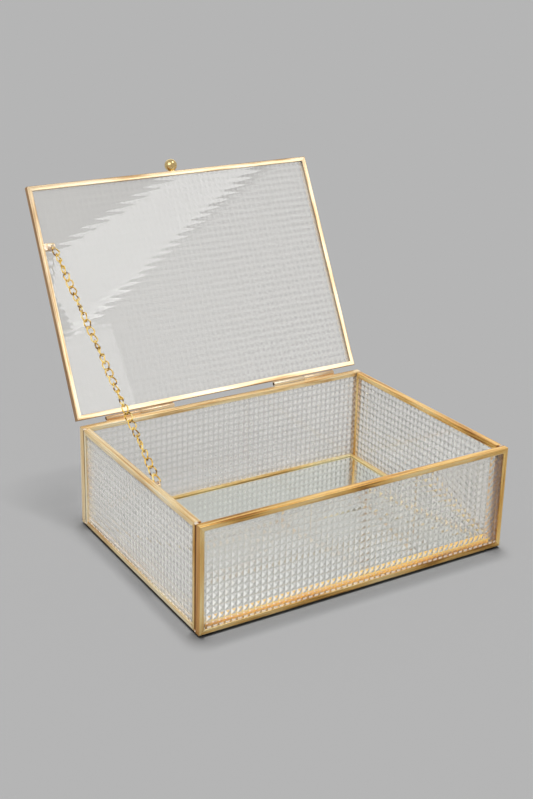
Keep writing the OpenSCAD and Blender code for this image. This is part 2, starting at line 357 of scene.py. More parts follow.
# Pieces of the lid are made with the lid shut, where they are square, and then turned open with it
lidHinge = next(j for j in frame["joints"] if j["name"] == "lid_hinge")
lidOpen = math.radians(lidHinge["range_deg"][1])
hingeLine = Vector(lidHinge["pos_m"])
openLid = Matrix.Translation(hingeLine) @ Matrix.Rotation(-lidOpen, 4, "X") @ Matrix.Translation(-hingeLine)
stayPut = Matrix.Identity(4)
x, y, z = 0, 1, 2


# A CAD node's corners, taken in the space that the node is square in
def squareBox(node, space=stayPut):
    back = space.inverted()
    points = np.array([back @ v.co for v in frame["nodes"][node].data.vertices])
    return points.min(0), points.max(0)


def makeObject(name, points, faces, material, body, space=stayPut, smooth=False, **layers):
    mesh = bpy.data.meshes.new(name)
    mesh.from_pydata([tuple(p) for p in points], [], [tuple(f) for f in faces])
    for key, values in layers.items():
        values = np.asarray(values, np.float32)
        kind, field = ("FLOAT", "value") if values.ndim == 1 else ("FLOAT_VECTOR", "vector")
        mesh.attributes.new(key, kind, "POINT").data.foreach_set(field, values.ravel())
    mesh.transform(space)
    mesh.validate()
    tidy = bmesh.new()
    tidy.from_mesh(mesh)
    bmesh.ops.recalc_face_normals(tidy, faces=tidy.faces)
    tidy.to_mesh(mesh)
    tidy.free()
    for face in mesh.polygons:
        face.use_smooth = smooth
    mesh.materials.append(material)
    obj = bpy.data.objects.new(name, mesh)
    bpy.context.scene.collection.objects.link(obj)
    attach(obj, body)
    return obj


# Faces of a sweep: rings of n points, one more than the steps, with a cap at each end
def sweptFaces(n, steps):
    faces = [(k * n + i, k * n + (i + 1) % n, (k + 1) * n + (i + 1) % n, (k + 1) * n + i)
             for k in range(steps) for i in range(n)]
    return faces + [range(n), range(steps * n, (steps + 1) * n)]


def arc(cx, cy, r, start, end, steps):
    angles = [math.radians(start + (end - start) * k / steps) for k in range(steps + 1)]
    return [(cx + r * math.cos(a), cy + r * math.sin(a)) for a in angles]


foldedStrip = {
    "sheet": 0.6 * mm,
    "foldRadius": 0.6 * mm,
    "insideRadius": 0.15 * mm,
    "tipRadius": 0.16 * mm,
    "stations": 26,
    "waviness": 0.035 * mm,  # hand-bent strip is never quite straight
    "mitreGap": 0.02 * mm,
    "sideTrim": 1.1 * mm,    # the side walls stop this short of the front and back ones
}


# Outline of the U across its width t and its depth h, from the web at h = 0 up to the lips
def stripOutline(width, lip, s):
    half, r, q, tip, sheet = width / 2, s["foldRadius"], s["insideRadius"], s["tipRadius"], s["sheet"]
    inner = half - sheet
    right = arc(half - r, r, r, -90, 0, 6) + arc(half - tip, lip - tip, tip, 0, 90, 3)
    right += arc(inner + tip, lip - tip, tip, 90, 180, 3) + arc(inner - q, sheet + q, q, 0, -90, 2)
    left = [(-t, h) for t, h in reversed(right)]
    return right + left


def addStrip(node, name, along, opens, material, body, space=stayPut, slot="wall_brass"):
    s = foldedStrip
    low, high = squareBox(node, space)
    if node.startswith(("left_", "right_")):
        low[1] += s["sideTrim"] if along == 1 or opens == (1, 1) else 0
        high[1] -= s["sideTrim"] if along == 1 or opens == (1, -1) else 0
    depthAxis, sign = opens
    acrossAxis = 3 - along - depthAxis
    length, width, lip = (high - low)[[along, acrossAxis, depthAxis]]
    base = low[depthAxis] if sign > 0 else high[depthAxis]
    outline = np.array(stripOutline(width, lip, s))
    girth = np.concatenate([[0], np.cumsum(np.linalg.norm(np.diff(outline, axis=0), axis=1))])
    draw = random.Random(name)
    waves = [(draw.uniform(1.5, 9), draw.uniform(0, 6.28), draw.uniform(-1, 1), draw.uniform(-1, 1))
             for _ in range(4)]
    seed = draw.uniform(0, 1)
    points, grain, web = [], [], []
    for k in range(s["stations"] + 1):
        share = k / s["stations"]
        fade = math.sin(math.pi * share)
        lean = [sum(w[axis] * math.sin(w[0] * math.pi * share + w[1]) for w in waves) for axis in (2, 3)]
        for i, (t, h) in enumerate(outline):
            reach = length / 2 - h - s["mitreGap"]
            p = np.empty(3)
            p[along] = (low + high)[along] / 2 + reach * (2 * share - 1)
            p[acrossAxis] = (low + high)[acrossAxis] / 2 + t + lean[0] * fade * s["waviness"] / 3
            p[depthAxis] = base + sign * h
            points.append(p)
            grain.append((p[along] + seed, girth[i] + seed * 3, seed * 7))
            web.append(1 if h < s["foldRadius"] * 0.5 else 0)
    faces = sweptFaces(len(outline), s["stations"])
    obj = makeObject(name, points, faces, material, body, space, grain=grain, web=web)
    for face in obj.data.polygons:
        face.use_smooth = len(face.vertices) == 4
    obj.data.set_sharp_from_angle(angle=math.radians(40))
    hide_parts(node)


# Rails, then the left or front stile, then the right or rear one: lit and shaded copies of one brass,
# painted light and shade by wall
wallBrasses = {
    "front": (wallBrass, stileBrass, shadedOchreBrass),
    "back": (litPaleBrass, litPaleBrass, wallBrass),
    "left": (litPaleBrass, stileBrass, litPaleBrass),
    "right": (wallBrass, shadedOchreBrass, wallBrass),
}
for wall, along in (("front", x), ("back", x), ("left", y), ("right", y)):
    nearStile, farStile = ("left", "right") if along == x else ("front", "rear")
    railBrass, nearBrass, farBrass = wallBrasses[wall]
    addStrip(f"{wall}_bottom_rail", f"{wall}BottomRail", along, (z, 1), railBrass, "box")
    addStrip(f"{wall}_top_rail", f"{wall}TopRail", along, (z, -1), railBrass, "box")
    addStrip(f"{wall}_{nearStile}_stile", f"{wall}{nearStile.title()}Stile", z, (along, 1), nearBrass, "box")
    addStrip(f"{wall}_{farStile}_stile", f"{wall}{farStile.title()}Stile", z, (along, -1), farBrass, "box")
for part, frontBrass, brass, *place in (("base", litBaseFrontBrass, litBaseBrass, "box", stayPut, "wall_brass"),
                                        ("lid", lidBrass, lidBrass, "lid", openLid, "lid_brass")):
    addStrip(f"{part}_front_strip", f"{part}FrontStrip", x, (y, 1), frontBrass, *place)
    addStrip(f"{part}_rear_strip", f"{part}RearStrip", x, (y, -1), brass, *place)
    addStrip(f"{part}_left_strip", f"{part}LeftStrip", y, (x, 1), brass, *place)
    addStrip(f"{part}_right_strip", f"{part}RightStrip", y, (x, -1), brass, *place)
print("strips folded")

pyramidPane = {
    "slope": 17,             # degrees, of the pyramids' short sides
    "valley": 0.12,          # share of a pyramid that is rounded off at its foot
    "valleyDrop": 0.4,
    "crease": 0.36,          # where the mesh of a side has a line
    "tones": (1.0, 0.72, 0.42, 0.12),  # light let through by the near, upper, lower and far side, painted light and shade
    # painted shade in the valleys
    "valleyTone": 0.3,
    "pressedFrom": 0.6,      # share of the thickness from which a face counts as pressed
    "footTall": 0.9 * mm,    # painted glint: a bright foot of the pane, just clear of its rail
    "footWide": 0.62,
    "footTone": 0.9,
    "footHidden": 1.0 * mm,  # the foot goes on this far behind the rail
}

# What a pane shows unless its own look says otherwise
plainPane = {
    "haze": 0.04,     # white on the pressed side, part haze and part painted light, and how much less across it
    "hazeFade": 0,
    "flatHaze": 0.12,
    "near": 0,        # painted glints: white on the near sides of the pyramids, and how much less across and up the pane
    "fadeAcross": 0,
    "fadeUp": 0,
    "tones": 0.05,    # how much the four sides of a pyramid differ in painted light and shade
    "cells": 0,       # painted refraction: white cells and dark spots on the flat face, and how they grow across
    "spots": 0,
    "grow": 0,
    "flatTone": 1,    # light let through by the flat face
    "foot": 0,        # how white the painted glint at the foot is, how far up it is clear, and how far in from the far stile
    "clearTall": 0,
    "clearWide": 0,
    "lit": -1,        # which end the near sides with the painted glints face
}

paneLooks = {
    "front": {"haze": 0.25, "hazeFade": 0.88, "flatHaze": 0.03, "near": 1.0, "fadeAcross": 0.85,
              "fadeUp": 0.92, "tones": 0.75, "foot": 1.0, "clearTall": 2.3 * mm, "clearWide": 0.5 * mm},
    "back": {"cells": 0.20, "grow": 1.1},
    "left": {"haze": 0.24, "flatHaze": 0.04, "near": 0.6, "fadeUp": 0.3, "tones": 0.45, "foot": 1.0,
             "clearTall": 0.9 * mm, "lit": 1},
    "right": {"flatHaze": 0.06, "cells": 0.17, "lit": 1},
    "lid": {"tones": 0.1, "spots": 0.10, "grow": 1.5, "flatTone": 0.8},
}

# How far a rail covers its pane
railLip = squareBox("front_bottom_rail")[1][2] - squareBox("front_pane")[0][2]


# One side of the pane is flat and the other is rows of pyramids, on a flat rim that the strips hide
def addPane(node, name, wide, tall, outwards, changes, body, space=stayPut):
    g = pyramidPane
    look = {**plainPane, **changes}
    low, high = squareBox(node, space)
    outAxis, sign = outwards
    size = high - low
    pitches = [pressedGlass["pitchWide"], pressedGlass["pitchTall"]]
    counts = [int(size[axis] // pitch) for axis, pitch in zip((wide, tall), pitches)]
    height = pitches[0] / 2 * math.tan(math.radians(g["slope"]))
    steps = [-1, g["valley"] - 1, -g["footWide"], -g["crease"], 0]
    steps += [g["crease"], g["footWide"], 1 - g["valley"]]
    lines = []
    for count, pitch, axis in zip(counts, pitches, (wide, tall)):
        start = -count * pitch / 2
        inside = [(start + (k + 0.5 + u / 2) * pitch, u) for k in range(count) for u in steps]
        edge = size[axis] / 2
        lines.append([(-edge, 1)] + inside + [(-start, 1), (edge, 1)])
    us = np.array([abs(p[1]) for p in lines[0]])
    vs = np.array([abs(p[1]) for p in lines[1]])
    foot = np.maximum.outer(us, vs)
    rise = 1 - foot
    rise = np.where(foot >= 1, g["valley"] * g["valleyDrop"], rise)
    nu, nv = len(us), len(vs)
    middle = (low + high) / 2
    top = high[outAxis] if sign > 0 else low[outAxis]
    flat = low[outAxis] if sign > 0 else high[outAxis]
    points, grain, cells, spots = [], [], [], []
    for isFlat in (False, True):
        for i, (u, _) in enumerate(lines[0]):
            for j, (v, _) in enumerate(lines[1]):
                p = np.empty(3)
                p[wide], p[tall] = middle[wide] + u, middle[tall] + v
                p[outAxis] = flat if isFlat else top - sign * height * (1 - rise[i, j])
                points.append(p)
                grain.append((u + counts[0] * pitches[0] / 2, v + counts[1] * pitches[1] / 2, 0))
                growth = 1 + look["grow"] * u / size[wide] if isFlat else 0
                cells.append(look["cells"] * growth)
                spots.append(look["spots"] * growth)
    faces = []
    for i in range(nu - 1):
        for j in range(nv - 1):
            a, b, c, d = i * nv + j, (i + 1) * nv + j, (i + 1) * nv + j + 1, i * nv + j + 1
            if rise[i, j] + rise[i + 1, j + 1] == rise[i + 1, j] + rise[i, j + 1]:
                faces.append((a, b, c, d))
            elif abs(rise[i, j] - rise[i + 1, j + 1]) > abs(rise[i + 1, j] - rise[i, j + 1]):
                faces += [(a, b, c), (a, c, d)]  # the ridge runs from a to c
            else:
                faces += [(a, b, d), (b, c, d)]
    shift = nu * nv
    rim = [i * nv for i in range(nu)] + [(nu - 1) * nv + j for j in range(1, nv)]
    rim += [i * nv + nv - 1 for i in range(nu - 2, -1, -1)] + [j for j in range(nv - 2, 0, -1)]
    faces += [(r, after, after + shift, r + shift) for r, after in zip(rim, rim[1:] + rim[:1])]
    faces.append([r + shift for r in rim])
    obj = makeObject(name, points, faces, clearGlass, body, space, grain=grain, cells=cells, spots=spots)
    loose = bmesh.new()
    loose.from_mesh(obj.data)
    bmesh.ops.delete(loose, geom=[v for v in loose.verts if not v.link_faces], context="VERTS")
    loose.to_mesh(obj.data)
    loose.free()
    # each side of each pyramid has its own tone and its own share of white: painted light and shade, glints
    # and haze
    centres = np.array([space.inverted() @ face.center for face in obj.data.polygons])
    pressed = abs(centres[:, outAxis] - flat) > size[outAxis] * g["pressedFrom"]
    shares = [(centres[:, axis] - low[axis]) / size[axis] for axis in (wide, tall)]
    cell = []
    for axis, count, pitch in zip((wide, tall), counts, pitches):
        place = (centres[:, axis] - middle[axis]) / pitch + count / 2
        pressed &= (place > 0) & (place < count)
        cell.append(2 * (place % 1) - 1)
    u, v = cell[0] * -look["lit"], cell[1]
    near, above, below, far = g["tones"]
    tone = np.select([(abs(u) > abs(v)) & (u < 0), abs(u) > abs(v), v > 0], [near, far, above], below)
    valley = np.maximum(abs(u), abs(v)) > 1 - g["valley"]
    tone = np.where(valley, g["valleyTone"], tone)
    side = np.where(pressed, 1 - look["tones"] * (1 - tone), look["flatTone"])
    across = shares[0] if look["lit"] < 0 else 1 - shares[0]
    white = np.where((abs(u) > abs(v)) & (u < 0) & ~valley, look["near"], 0)
    white = white * (1 - look["fadeAcross"] * across) * (1 - look["fadeUp"] * shares[1])
    white = np.maximum(white, look["haze"] * (1 - look["hazeFade"] * across))
    # a painted glint along the foot of the pane, above a clear band
    if look["foot"]:
        overRail = centres[:, tall] - low[tall] - railLip
        band = (overRail > -g["footHidden"]) & (overRail < look["clearTall"])
        if look["clearWide"]:
            band |= centres[:, wide] > high[wide] - railLip - look["clearWide"]
        white = np.where(band, 0, white)
        side = np.where(band & pressed, g["footTone"], side)
        white = np.where(band & (overRail < g["footTall"]) & (abs(u) < g["footWide"]), look["foot"], white)
    white = np.where(pressed, white, look["flatHaze"])
    for key, values in (("side", side), ("glintAndHaze", white)):
        layer = obj.data.attributes.new(key, "FLOAT", "FACE")
        layer.data.foreach_set("value", values.astype(np.float32))
    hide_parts(node)


addPane("front_pane", "frontPane", x, z, (y, -1), paneLooks["front"], "box")
addPane("back_pane", "backPane", x, z, (y, 1), paneLooks["back"], "box")
addPane("left_pane", "leftPane", y, z, (x, -1), paneLooks["left"], "box")
addPane("right_pane", "rightPane", y, z, (x, 1), paneLooks["right"], "box")
addPane("lid_pane", "lidPane", x, y, (z, 1), paneLooks["lid"], "lid", openLid)
print("panes pressed")


# Turned piece: an outline of (place along the axis, radius), closed if it doesn't start and end on the axis
def turnedPoints(outline, centre, axis, sides=40):
    across = [k for k in (0, 1, 2) if k != axis]
    closed = outline[0][1] > 0
    points, faces = [], []
    for along, radius in outline:
        for k in range(sides):
            angle = 2 * math.pi * k / sides
            p = [0, 0, 0]
            p[axis] = centre[axis] + along
            p[across[0]] = centre[across[0]] + radius * math.cos(angle)
            p[across[1]] = centre[across[1]] + radius * math.sin(angle)
            points.append(p)
    rings = len(outline) if closed else len(outline) - 1
    for i in range(rings):
        j = (i + 1) % len(outline)
        faces += [(i * sides + k, i * sides + (k + 1) % sides, j * sides + (k + 1) % sides, j * sides + k)
                  for k in range(sides)]
    return points, faces


def mergeDoubles(obj, gap=0.001 * mm):
    work = bmesh.new()
    work.from_mesh(obj.data)
    bmesh.ops.remove_doubles(work, verts=work.verts, dist=gap)
    bmesh.ops.recalc_face_normals(work, faces=work.faces)
    work.to_mesh(obj.data)
    work.free()


hingeTube = {
    "outside": 1.5 * mm,
    "bore": 0.97 * mm,
    "endRound": 0.22 * mm,
    "solderNear": 0.65 * mm,  # the solder keeps to its own strip, on either side of the hinge line
    "solderFar": 2.1 * mm,
    "solderSlope": (0.35 * mm, 0.25 * mm),
    "solderShape": ((-0.9, 1.45), (-0.1, 1.42), (-0.3, 1.1)),  # over the tube, in mm from the hinge line
    "solderFoot": 1.1 * mm,
    "solderEnd": 0.2 * mm,  # it stops this short of the tube's ends
    "solderWave": 0.10 * mm,
    "solderStations": 24,
    "pinDome": 0.35 * mm,
}


def addKnuckle(node, name, up, material, body, space=stayPut):
    h = hingeTube
    low, high = squareBox(node, space)
    half, r = (high - low)[0] / 2, h["endRound"]
    centre = ((low + high)[0] / 2, hingeLine[1], hingeLine[2])
    outline = [(-half + a, b) for a, b in arc(r, h["outside"] - r, r, 180, 90, 4)]
    outline += [(half + a, b) for a, b in arc(-r, h["outside"] - r, r, 90, 0, 4)]
    outline += [(half, h["bore"] + r / 2), (half - r / 2, h["bore"])]
    outline += [(-half + r / 2, h["bore"]), (-half, h["bore"] + r / 2)]
    points, faces = turnedPoints(outline, centre, 0)
    # the solder that holds the tube to the back of its strip
    wall = low[1]
    near = hingeLine[2] + up * h["solderNear"]
    far = hingeLine[2] + up * h["solderFar"]
    slopeOut, slopeUp = h["solderSlope"]
    profile = [(wall, near), (wall, far), (wall + slopeOut, far - up * slopeUp)]
    profile += [(hingeLine[1] + a * mm, hingeLine[2] + up * b * mm) for a, b in h["solderShape"]]
    profile += [(hingeLine[1] - h["solderFoot"], near)]
    draw = random.Random(name)
    start, n, stations = len(points), len(profile), h["solderStations"]
    for k in range(stations + 1):
        place = centre[0] + (half - h["solderEnd"]) * (2 * k / stations - 1)
        wave = h["solderWave"] * draw.uniform(-1, 1)
        for i, (py, pz) in enumerate(profile):
            swell = wave if i in (2, 3) else 0
            points.append((place, py + swell, pz + up * swell))
    faces += [[start + f for f in face] for face in sweptFaces(n, stations)]
    obj = makeObject(name, points, faces, material, body, space, smooth=True)
    obj.data.materials.append(seamBrown)
    # the bore is given the dark brown, painted shade inside the tube
    for face in obj.data.polygons[:]:
        middle = space.inverted() @ face.center
        if math.hypot(middle.y - centre[1], middle.z - centre[2]) < h["bore"] + r / 2:
            face.material_index = 1
    obj.data.set_sharp_from_angle(angle=math.radians(50))
    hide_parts(node)


def addPin(node, name):
    low, high = squareBox(node)
    half, radius = (high - low)[0] / 2, (high - low)[1] / 2
    dome = hingeTube["pinDome"]
    outline = [(-half, 0.0), (-half + 0.3 * dome, radius * 0.7), (-half + dome, radius)]
    outline += [(-a, b) for a, b in reversed(outline)]
    points, faces = turnedPoints(outline, (low + high) / 2, 0, 24)
    obj = makeObject(name, points, faces, tubeBrass, "box", smooth=True)
    mergeDoubles(obj)
    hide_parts(node)


for side in ("left", "right"):
    addKnuckle(f"{side}_hinge_box_knuckle", f"{side}BoxKnuckle", -1, tubeBrass, "box")
    addKnuckle(f"{side}_hinge_lid_knuckle", f"{side}LidKnuckle", 1, tubeBrass, "lid", openLid)
    addPin(f"{side}_hinge_pin", f"{side}HingePin")

ballKnob = {
    "radius": 4.2 * mm,
    "neckRadius": 1.3 * mm,
    "collarRadius": 2.1 * mm,
    "collarHeight": 0.5 * mm,
    "sunk": 0.2 * mm,  # how far the collar is let into the strip
}


# The ball is turned with a short neck and a collar that sits on the front edge of the lid
def addKnob(k):
    low, high = squareBox("knob_ball", openLid)
    centre = (low + high) / 2
    lidEdge = squareBox("lid_front_strip", openLid)[0][1]
    middle = centre[1] - lidEdge
    foot = math.asin(k["neckRadius"] / k["radius"])
    ball = [(middle - k["radius"] * math.cos(a), k["radius"] * math.sin(a))
            for a in [(math.pi - foot) * i / 26 for i in range(27)]]
    neck = [(-k["collarHeight"] * 1.6, k["neckRadius"]), (-k["collarHeight"], k["collarRadius"] * 0.9),
            (-k["collarHeight"] * 0.6, k["collarRadius"]), (k["sunk"], k["collarRadius"]), (k["sunk"], 0.0)]
    points, faces = turnedPoints(ball + neck, (centre[0], lidEdge, centre[2]), 1, 36)
    obj = makeObject("knobBall", points, faces, knobBrass, "lid", openLid, smooth=True)
    mergeDoubles(obj)
    obj.data.set_sharp_from_angle(angle=math.radians(50))
    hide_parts("knob_ball")


addKnob(ballKnob)

footPad = {"radius": 6.2 * mm, "round": 0.5 * mm, "sides": 48}


def addFoot(node, name, f):
    low, high = squareBox(node)
    tall, r = high[2] - low[2], f["round"]
    outline = [(0, 0.0)] + [(a, b) for a, b in arc(r, f["radius"] - r, r, 180, 90, 4)]
    outline += [(tall, f["radius"]), (tall, 0.0)]
    points, faces = turnedPoints(outline, ((low + high)[0] / 2, (low + high)[1] / 2, low[2]), 2, f["sides"])
    obj = makeObject(name, points, faces, footRubber, "box", smooth=True)
    mergeDoubles(obj)
    obj.data.set_sharp_from_angle(angle=math.radians(50))
    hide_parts(node)


for end in ("front", "rear"):
    for side in ("left", "right"):
        addFoot(f"foot_{end}_{side}", f"foot{end.title()}{side.title()}", footPad)

solderBead = {
    "size": (1.1 * mm, 1.2 * mm, 0.7 * mm),
    "lumps": 0.5,
    "atGroove": 5.1 * mm,  # from the face of the front or back wall
    "inset": 0.75 * mm,    # from the face of the side wall
    "lowLift": 0.5 * mm,
    "highDrop": 0.45 * mm,
    "aboveRim": 0.12 * mm,
}


# A drop of solder, kept between the corners low and high so that it clears what moves past it
def addBead(name, centre, size, body, space=stayPut, low=(-1, -1, -1), high=(1, 1, 1)):
    draw = random.Random(name)
    work = bmesh.new()
    bmesh.ops.create_icosphere(work, subdivisions=3, radius=1)
    tilt = [(Vector([draw.gauss(0, 1) for _ in range(3)]).normalized(), draw.uniform(-1, 1))
            for _ in range(5)]
    points = []
    for v in work.verts:
        swell = 1 + solderBead["lumps"] * sum(w * math.sin(2.5 * t.dot(v.co)) for t, w in tilt) / 2
        point = Vector(centre) + Vector([c * s * swell for c, s in zip(v.co, size)])
        points.append(np.clip(point, low, high))
    faces = [[v.index for v in f.verts] for f in work.faces]
    work.free()
    obj = makeObject(name, points, faces, solder, body, space, smooth=True)


boxLow, boxHigh = squareBox("front_bottom_rail")[0], squareBox("back_top_rail")[1]
for sx in (-1, 1):
    for sy in (-1, 1):
        for level, height in (("Low", boxLow[2] + solderBead["lowLift"]),
                              ("High", boxHigh[2] - solderBead["highDrop"])):
            edgeX = (boxLow if sx < 0 else boxHigh)[0] - sx * solderBead["inset"]
            edgeY = (boxLow if sy < 0 else boxHigh)[1] - sy * solderBead["atGroove"]
            place = ("Left" if sx < 0 else "Right") + ("Front" if sy < 0 else "Rear")
            addBead(f"solder{place}{level}", (edgeX, edgeY, height), solderBead["size"], "box",
                    high=(1, 1, boxHigh[2] + solderBead["aboveRim"]))

cornerSeam = {
    "depth": 0.4 * mm,
    "thick": 1.4 * mm,
    "half": 0.95 * mm,
    "edge": 0.3 * mm,    # its two sides lie this much deeper than its middle
    "endGap": 1.2 * mm,
    "stations": 30,
    "wobble": 0.12 * mm,
}


# Dark flux and tarnish, as a thin uneven rib, fills the groove between two walls; its dark brown also stands
# for the painted shade down in the groove
def addSeam(name, sx, sy, c):
    draw = random.Random(name)
    face = (boxLow if sx < 0 else boxHigh)[0]
    middle = (boxLow if sy < 0 else boxHigh)[1] - sy * solderBead["atGroove"]
    points = []
    for k in range(c["stations"] + 1):
        place = boxLow[2] + c["endGap"] + (boxHigh[2] - boxLow[2] - 2 * c["endGap"]) * k / c["stations"]
        out = c["depth"] + draw.uniform(-1, 1) * c["wobble"] * 0.5
        half = c["half"] + draw.uniform(-1, 1) * c["wobble"]
        ring = ((out + c["thick"], -half * 0.4), (out + c["edge"], -half), (out, -half * 0.3),
                (out, half * 0.3), (out + c["edge"], half), (out + c["thick"], half * 0.4))
        points += [(face - sx * inwards, middle + across, place) for inwards, across in ring]
    obj = makeObject(name, points, sweptFaces(len(ring), c["stations"]), seamBrown, "box")


for sx in (-1, 1):
    for sy in (-1, 1):
        addSeam(f"seam{'Left' if sx < 0 else 'Right'}{'Front' if sy < 0 else 'Rear'}", sx, sy, cornerSeam)


# Small pieces keep the shape they have in the CAD
def dress(nodes, material):
    for node in nodes:
        mesh = frame["nodes"][node].data
        mesh.materials.clear()
        mesh.materials.append(material)


dress(["knob_stud", "lid_chain_eye", "box_chain_eye"], tubeBrass)
dress(["mirror_floor"], mirrorGlass)

# Places are from each eye's outer top edge, and the ring's from the gap beside the wall
eyeBead = {
    "lidSize": (2.6 * mm, 2.6 * mm, 1.3 * mm),
    "lidPlace": (1.2 * mm, 0, 0.1 * mm),
    "ringSize": (1.5 * mm, 2.2 * mm, 1.9 * mm),  # where it runs down over the foot of the ring
    "ringPlace": (0.9 * mm, 0, -0.9 * mm),
    "boxSize": (1.3 * mm, 1.3 * mm, 0.9 * mm),
    "boxPlace": (0.3 * mm, -0.6 * mm, -0.4 * mm),
    "boxReach": 1.5 * mm,                        # how far in and down it may go
    "boxDrop": 0.9 * mm,
    "gap": 0.25 * mm,                            # to the wall, the rim or the links
}


# The lid's drop of solder sits over the rim and beside the wall when the lid is shut
def addEyeSolder(e):
    low, high = squareBox("lid_chain_eye", openLid)
    wall = squareBox("left_top_rail")[1]
    clear, rim = wall[0] + e["gap"], wall[2] + e["gap"]
    middle = (low[1] + high[1]) / 2
    place = np.array((low[0], middle, high[2])) + e["lidPlace"]
    addBead("lidEyeSolder", place, e["lidSize"], "lid", openLid, low=(-1, -1, rim))
    place = np.array((clear, middle, high[2])) + e["ringPlace"]
    addBead("lidRingSolder", place, e["ringSize"], "lid", openLid, low=(clear, -1, -1))
    low, high = squareBox("box_chain_eye")
    place = np.array((low[0], (low[1] + high[1]) / 2, high[2])) + e["boxPlace"]
    addBead("boxEyeSolder", place, e["boxSize"], "box", low=(-1, -1, high[2] - e["boxDrop"]),
            high=(low[0] + e["boxReach"], 1, wall[2] + solderBead["aboveRim"]))


addEyeSolder(eyeBead)
print("hinges, knob, feet and solder made")

curbLink = {
    "wire": 0.82 * mm,
    "width": 4.8 * mm,
    "play": 0.25 * mm,
    "twist": 30,           # degrees that each end of a link is turned
    "turnPerLink": -28.3,  # degrees that the hanging chain turns from link to link
    "firstTurn": -6,
    "linksPerRun": 3,
    "endShape": 0.8,       # below 1 the link is squarer than an oval, at its ends and at its sides
    "sideShape": 0.85,
    "around": 40,
    "sides": 10,
}


def addChain(c):
    joints = {j["child"]: j for j in frame["joints"]}
    runs = [n for n in frame["nodes"] if n.startswith("chain_run_")]
    runs.sort(key=lambda n: int(n.split("_")[-1]))
    top = Vector(joints["chain_1"]["pos_m"])
    bottom = Vector(joints[f"chain_{len(runs)}"]["pos_m"])
    count = c["linksPerRun"] * len(runs)
    axis = (bottom - top).normalized()
    pitch = ((bottom - top).length - c["wire"] - c["play"]) / count
    a = (pitch + c["play"] + c["wire"]) / 2
    b = (c["width"] - c["wire"]) / 2
    side = Vector((1, 0, 0))
    side = (side - axis * side.dot(axis)).normalized()
    lift = axis.cross(side)
    radius = c["wire"] / 2
    link = 0
    for run, node in enumerate(runs):
        points, faces, grain = [], [], []
        for _ in range(c["linksPerRun"]):
            middle = top + axis * (a + link * pitch)
            turn = math.radians(c["firstTurn"] + c["turnPerLink"] * link)
            line = []
            for k in range(c["around"]):
                t = 2 * math.pi * k / c["around"]
                along = a * math.copysign(abs(math.cos(t)) ** c["endShape"], math.cos(t))
                out = b * math.copysign(abs(math.sin(t)) ** c["sideShape"], math.sin(t))
                angle = turn + math.radians(c["twist"]) * along / a
                line.append(middle + axis * along + (side * math.cos(angle) + lift * math.sin(angle)) * out)
            start = len(points)
            for k, p in enumerate(line):
                forward = (line[(k + 1) % len(line)] - line[k - 1]).normalized()
                outward = p - middle - axis * (p - middle).dot(axis) * 0.9  # mostly across the link
                outward = (outward - forward * outward.dot(forward)).normalized()
                over = forward.cross(outward)
                for m in range(c["sides"]):
                    w = 2 * math.pi * m / c["sides"]
                    grain.append((p.x + link * 0.01, p.y + math.cos(w) * radius, p.z + math.sin(w) * radius))
                    points.append(p + (outward * math.cos(w) + over * math.sin(w)) * radius)
            n, s = c["around"], c["sides"]
            for k in range(n):
                here, after = start + k * s, start + (k + 1) % n * s
                faces += [(here + m, here + (m + 1) % s, after + (m + 1) % s, after + m) for m in range(s)]
            link += 1
        name, body = f"chainLinks{run + 1:02d}", f"chain_{run + 1}"
        obj = makeObject(name, points, faces, chainGilt, body, smooth=True, grain=grain)
        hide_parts(node)


addChain(curbLink)
print("chain linked")

studio = {
    "floorGrey": 0.0661,  # under the sky and the sun together it shows as the background's grey
    "floorHalf": 14,
    "skyGrey": 0.462,     # what shows behind
    "skyLight": 1.0,      # what lights the box
    "sunShare": 6.0,      # light on the floor from the soft sun, beside the sky's 1
    "sunAzimuth": 150,
    "sunElevation": 84,
    "sunAngle": 15,
}


def addFloor(s):
    mat, tree, shader = newMaterial("floorPaper")
    shader.inputs["Base Color"].default_value = (s["floorGrey"],) * 3 + (1,)
    shader.inputs["Roughness"].default_value = 1
    shader.inputs["Specular IOR Level"].default_value = 0
    h = s["floorHalf"]
    mesh = bpy.data.meshes.new("floor")
    mesh.from_pydata([(-h, -h, 0), (h, -h, 0), (h, h, 0), (-h, h, 0)], [], [(0, 1, 2, 3)])
    mesh.materials.append(mat)
    floor = bpy.data.objects.new("floor", mesh)
    bpy.context.scene.collection.objects.link(floor)


def addWorld(s):
    world = bpy.data.worlds.new("studio")
    bpy.context.scene.world = world
    world.use_nodes = True
    tree = world.node_tree
    shown = tree.nodes["Background"]
    shown.inputs["Color"].default_value = (s["skyGrey"],) * 3 + (1,)
    lit = addNode(tree, "Background", Color=(1, 1, 1, 1), Strength=s["skyLight"])
    path = tree.nodes.new("ShaderNodeLightPath")
    either = addMath(tree, "MAXIMUM", path.outputs["Is Glossy Ray"], path.outputs["Is Transmission Ray"])
    either = addMath(tree, "MAXIMUM", either, path.outputs["Is Camera Ray"])
    # light that reaches a matt surface through the glass comes from the bright sky too
    direct = addMath(tree, "LESS_THAN", path.outputs["Diffuse Depth"], 0.5)
    mix = tree.nodes.new("ShaderNodeMixShader")
    tree.links.new(addMath(tree, "MULTIPLY", either, direct), mix.inputs[0])
    tree.links.new(lit.outputs[0], mix.inputs[1])
    tree.links.new(shown.outputs[0], mix.inputs[2])
    tree.links.new(mix.outputs[0], tree.nodes["World Output"].inputs["Surface"])


